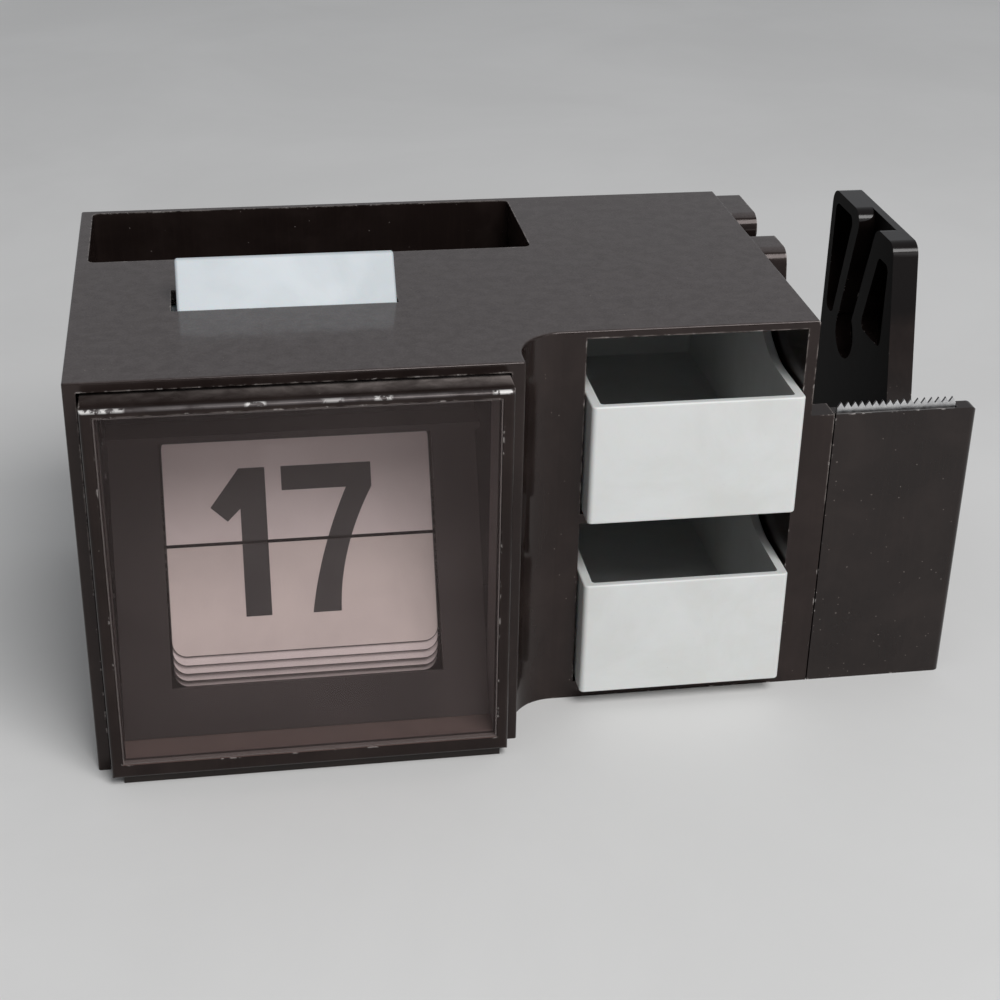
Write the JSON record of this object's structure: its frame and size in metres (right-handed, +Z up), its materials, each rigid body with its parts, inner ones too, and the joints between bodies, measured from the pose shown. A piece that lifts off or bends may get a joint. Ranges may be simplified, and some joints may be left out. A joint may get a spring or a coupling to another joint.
{
  "type": "desk organizer",
  "caption": "Desk tray with a perpetual flip calendar behind a smoky window, a push bar that turns the leaves, a pen well, scoop drawers and a tape cradle with a cutter.",
  "frame": {"origin": "on the table under the middle of the whole object", "axes": "+X to the right seen from the calendar side, +Y to the back, +Z up"},
  "size_m": [0.1896, 0.1066, 0.0966],
  "materials": {
    "brown_gloss": "polished moulding with fine scratches",
    "brown_matte": "plain moulding",
    "black_plastic": "plain moulding",
    "white_plastic": "satin moulding, slightly aged",
    "leaf_sheet": "printed sheet",
    "smoky_clear": "smoky clear sheet",
    "zinc_steel": "zinc plated",
    "spring_steel": "bright drawn",
    "blade_steel": "bright stamped"
  },
  "bodies": {
    "body": {"housing": "brown_gloss", "base_plate": "brown_matte", "base_screws": "zinc_steel", "calendar_bezel": "brown_gloss", "window_pane": "smoky_clear", "calendar_mask": "brown_matte", "chassis_left": "black_plastic", "chassis_right": "black_plastic", "drum_axle": "zinc_steel", "axle_clip": "zinc_steel", "key_springs": "spring_steel", "detent_spring": "spring_steel", "tape_frame": "brown_gloss", "cutter_blade": "blade_steel"},
    "upper_drawer": {"upper_drawer": "white_plastic"},
    "lower_drawer": {"lower_drawer": "white_plastic"},
    "push_bar": {"push_bar": "white_plastic", "drive_pawl": "spring_steel"},
    "drum": {"drum_core": "black_plastic", "drum_disc_left": "black_plastic", "drum_disc_right": "black_plastic", "ratchet_wheel": "white_plastic", "waiting_leaves": "leaf_sheet", "spent_leaves": "leaf_sheet"},
    "flip_leaf": {"flip_leaf": "leaf_sheet"},
    "lower_leaf_1": {"lower_leaf_1": "leaf_sheet"},
    "lower_leaf_2": {"lower_leaf_2": "leaf_sheet"},
    "lower_leaf_3": {"lower_leaf_3": "leaf_sheet"},
    "lower_leaf_4": {"lower_leaf_4": "leaf_sheet"},
    "lower_leaf_5": {"lower_leaf_5": "leaf_sheet"}
  },
  "joints": [
    {"name": "upper_drawer_slide", "type": "slide", "parent": "body", "child": "upper_drawer", "axis": [0, -1, 0], "range_m": [0, 0.062]},
    {"name": "lower_drawer_slide", "type": "slide", "parent": "body", "child": "lower_drawer", "axis": [0, -1, 0], "range_m": [0, 0.062]},
    {"name": "push_bar_press", "type": "slide", "parent": "body", "child": "push_bar", "axis": [0, 0, -1], "range_m": [0, 0.004], "stiffness_N_per_m": 250, "springref_m": -0.003, "deforming": ["key_springs"]},
    {"name": "drum_turn", "type": "hinge", "parent": "body", "child": "drum", "pos_m": [0, -0.0166, 0.03625], "axis": [1, 0, 0], "range_deg": [0, 11.62]},
    {"name": "flip_leaf_fall", "type": "hinge", "parent": "drum", "child": "flip_leaf", "pos_m": [0, -0.02519, 0.04137], "axis": [1, 0, 0], "range_deg": [0, 168.4]},
    {"name": "lower_leaf_1_hang", "type": "hinge", "parent": "drum", "child": "lower_leaf_1", "pos_m": [0, -0.02604, 0.03954], "axis": [1, 0, 0], "range_deg": [-11.32, 0]},
    {"name": "lower_leaf_2_hang", "type": "hinge", "parent": "drum", "child": "lower_leaf_2", "pos_m": [0, -0.02651, 0.03757], "axis": [1, 0, 0], "range_deg": [-11.32, 0]},
    {"name": "lower_leaf_3_hang", "type": "hinge", "parent": "drum", "child": "lower_leaf_3", "pos_m": [0, -0.02658, 0.03555], "axis": [1, 0, 0], "range_deg": [-11.32, 0]},
    {"name": "lower_leaf_4_hang", "type": "hinge", "parent": "drum", "child": "lower_leaf_4", "pos_m": [0, -0.02623, 0.03355], "axis": [1, 0, 0], "range_deg": [-11.32, 0]},
    {"name": "lower_leaf_5_hang", "type": "hinge", "parent": "drum", "child": "lower_leaf_5", "pos_m": [0, -0.02549, 0.03167], "axis": [1, 0, 0], "range_deg": [0, 10.2]}
  ],
  "couplings": [
    {"joint": "drum_turn", "follows": "push_bar_press", "rad_per_m": 50.671},
    {"joint": "flip_leaf_fall", "follows": "push_bar_press", "rad_per_m": 734.73},
    {"joint": "lower_leaf_1_hang", "follows": "push_bar_press", "rad_per_m": -49.362},
    {"joint": "lower_leaf_2_hang", "follows": "push_bar_press", "rad_per_m": -49.362},
    {"joint": "lower_leaf_3_hang", "follows": "push_bar_press", "rad_per_m": -49.362},
    {"joint": "lower_leaf_4_hang", "follows": "push_bar_press", "rad_per_m": -49.362},
    {"joint": "lower_leaf_5_hang", "follows": "push_bar_press", "rad_per_m": 44.45}
  ]
}
